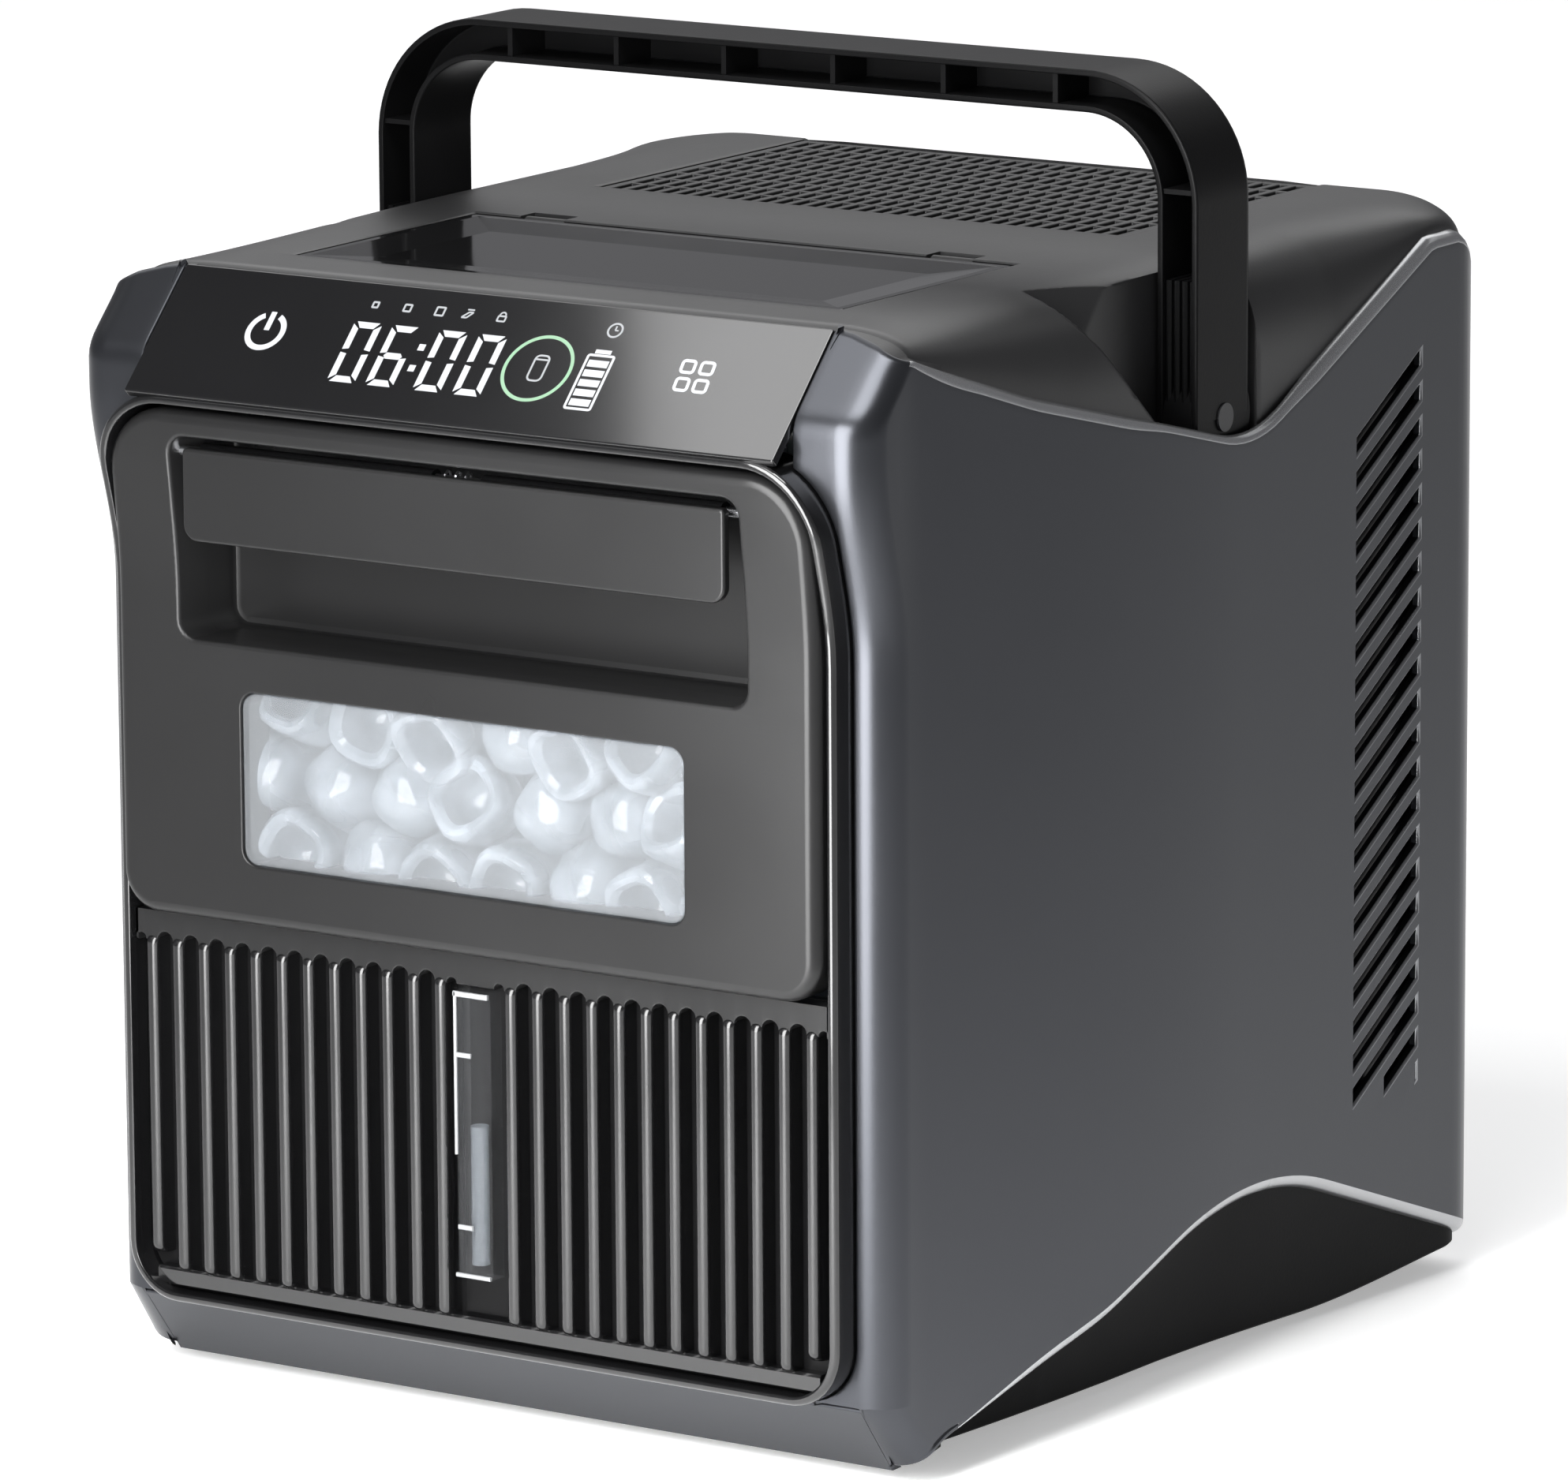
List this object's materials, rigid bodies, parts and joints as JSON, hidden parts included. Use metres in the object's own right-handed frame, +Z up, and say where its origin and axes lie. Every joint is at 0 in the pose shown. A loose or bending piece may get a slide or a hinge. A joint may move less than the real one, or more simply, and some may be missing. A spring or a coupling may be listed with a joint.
{
  "type": "ice_maker",
  "caption": "Portable ice maker with a waved grey shell, black top, folding carrying handle, ice drawer with a window, ribbed tank front and slanted control glass.",
  "frame": {"origin": "centre of the bounding box's bottom face, on the surface under the feet", "axes": "-Y is the front with the drawer and the control panel, +X is the right-hand side for someone facing that front, +Z is up"},
  "size_m": [0.2444, 0.281, 0.319],
  "materials": {
    "grey_shell": "satin metallic grey",
    "black_satin": "satin",
    "black_gloss": "gloss",
    "dark_glass": "smoked, polished",
    "clear": "clear",
    "white_plastic": "matte",
    "rubber": "matte",
    "steel": "bare",
    "copper": null,
    "aluminium": "bare",
    "black_paint": "satin",
    "board_green": "coated board",
    "battery_blue": "shrink wrap"
  },
  "bodies": {
    "root": {"side_panel_left": "grey_shell", "side_panel_right": "grey_shell", "front_skirt": "grey_shell", "front_bezel": "black_gloss", "control_panel": "dark_glass", "display_board": "board_green", "top_cover": "black_satin", "top_grille": "black_satin", "rear_cover": "black_satin", "base_pan": "black_satin", "foot_front_left": "rubber", "foot_front_right": "rubber", "foot_rear_left": "rubber", "foot_rear_right": "rubber", "rear_screw_low_left": "black_paint", "rear_screw_low_right": "black_paint", "rear_screw_high_left": "black_paint", "rear_screw_high_right": "black_paint", "handle_bracket_left": "steel", "handle_bracket_right": "steel", "handle_pin_left": "black_paint", "handle_pin_right": "black_paint", "lid_pin_left": "steel", "lid_pin_right": "steel", "drawer_rail_left": "steel", "drawer_rail_right": "steel", "lower_front": "black_gloss", "level_gauge": "clear", "water_reservoir": "white_plastic", "drain_plug": "rubber", "water_pump": "white_plastic", "pump_hose": "rubber", "chamber_frame": "white_plastic", "evaporator": "aluminium", "tray_motor": "black_paint", "chassis_wall": "white_plastic", "compressor": "black_paint", "condenser": "aluminium", "fan_shroud": "black_paint", "fan_motor": "black_paint", "suction_pipe": "copper", "hot_gas_pipe": "copper", "filter_drier": "copper", "battery_pack": "battery_blue", "main_board": "board_green", "power_inlet": "black_paint"},
    "handle": {"handle": "black_satin"},
    "drawer": {"drawer_front": "black_satin", "ice_window": "clear", "ice_basket": "clear", "latch_pin": "steel", "latch_spring": "steel"},
    "paddle": {"latch_paddle": "black_gloss"},
    "lid": {"top_lid": "dark_glass"},
    "tray": {"water_tray": "white_plastic"},
    "fan": {"fan_rotor": "black_paint"}
  },
  "joints": [
    {"name": "handle_hinge", "type": "hinge", "parent": "root", "child": "handle", "pos_m": [0, 0.01545, 0.236], "axis": [1, 0, 0], "range_deg": [0, 47]},
    {"name": "drawer_slide", "type": "slide", "parent": "root", "child": "drawer", "axis": [0, -1, 0], "range_m": [0, 0.1]},
    {"name": "latch_hinge", "type": "hinge", "parent": "drawer", "child": "paddle", "pos_m": [0, -0.13275, 0.2322], "axis": [1, 0, 0], "range_deg": [0, 12], "stiffness_Nm_per_rad": 0.1, "springref_deg": -5.73},
    {"name": "lid_hinge", "type": "hinge", "parent": "root", "child": "lid", "pos_m": [0, -0.01005, 0.271], "axis": [-1, 0, 0], "range_deg": [0, 80]},
    {"name": "tray_hinge", "type": "hinge", "parent": "root", "child": "tray", "pos_m": [0, -0.04955, 0.223], "axis": [1, 0, 0], "range_deg": [0, 75]},
    {"name": "fan_spin", "type": "hinge", "parent": "root", "child": "fan", "pos_m": [0.087, 0.08245, 0.14], "axis": [1, 0, 0], "continuous": true}
  ]
}
